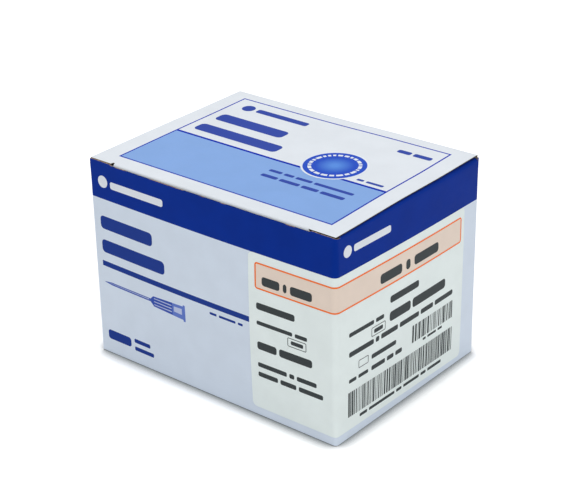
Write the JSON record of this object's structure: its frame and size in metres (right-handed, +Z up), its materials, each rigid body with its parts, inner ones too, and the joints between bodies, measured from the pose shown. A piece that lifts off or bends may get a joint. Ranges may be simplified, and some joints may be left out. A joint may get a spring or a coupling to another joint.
{
  "type": "hypodermic needle carton",
  "caption": "Folding carton with a hinged tuck lid and a wraparound label, filled with strips of sealed single-use hypodermic needles.",
  "frame": {"origin": "middle of the carton's underside", "axes": "+X along the front wall to the right seen from the front, +Y from the front wall to the back wall, +Z up"},
  "size_m": [0.1204, 0.0904, 0.085],
  "materials": {
    "carton_board": "coated white board, semi-gloss, printed in navy",
    "lid_board": "coated white board, semi-gloss, printed in light blue",
    "label_paper": "adhesive label paper, satin, orange and black print",
    "pack_film": "clear formed film sealed to white medical paper"
  },
  "bodies": {
    "box": {"carton": "carton_board", "label": "label_paper", "needle_strip_01": "pack_film", "needle_strip_02": "pack_film", "needle_strip_03": "pack_film", "needle_strip_04": "pack_film", "needle_strip_05": "pack_film", "needle_strip_06": "pack_film", "needle_strip_07": "pack_film", "needle_strip_08": "pack_film", "needle_strip_09": "pack_film", "needle_strip_10": "pack_film", "needle_strip_11": "pack_film", "needle_strip_12": "pack_film", "needle_strip_13": "pack_film", "needle_strip_14": "pack_film", "needle_strip_15": "pack_film", "needle_strip_16": "pack_film", "needle_strip_17": "pack_film", "needle_strip_18": "pack_film", "needle_strip_19": "pack_film", "needle_strip_20": "pack_film"},
    "lid": {"lid": "lid_board"}
  },
  "joints": [
    {"name": "lid_hinge", "type": "hinge", "parent": "box", "child": "lid", "pos_m": [0, 0.04475, 0.08475], "axis": [-1, 0, 0], "range_deg": [0, 200]}
  ]
}
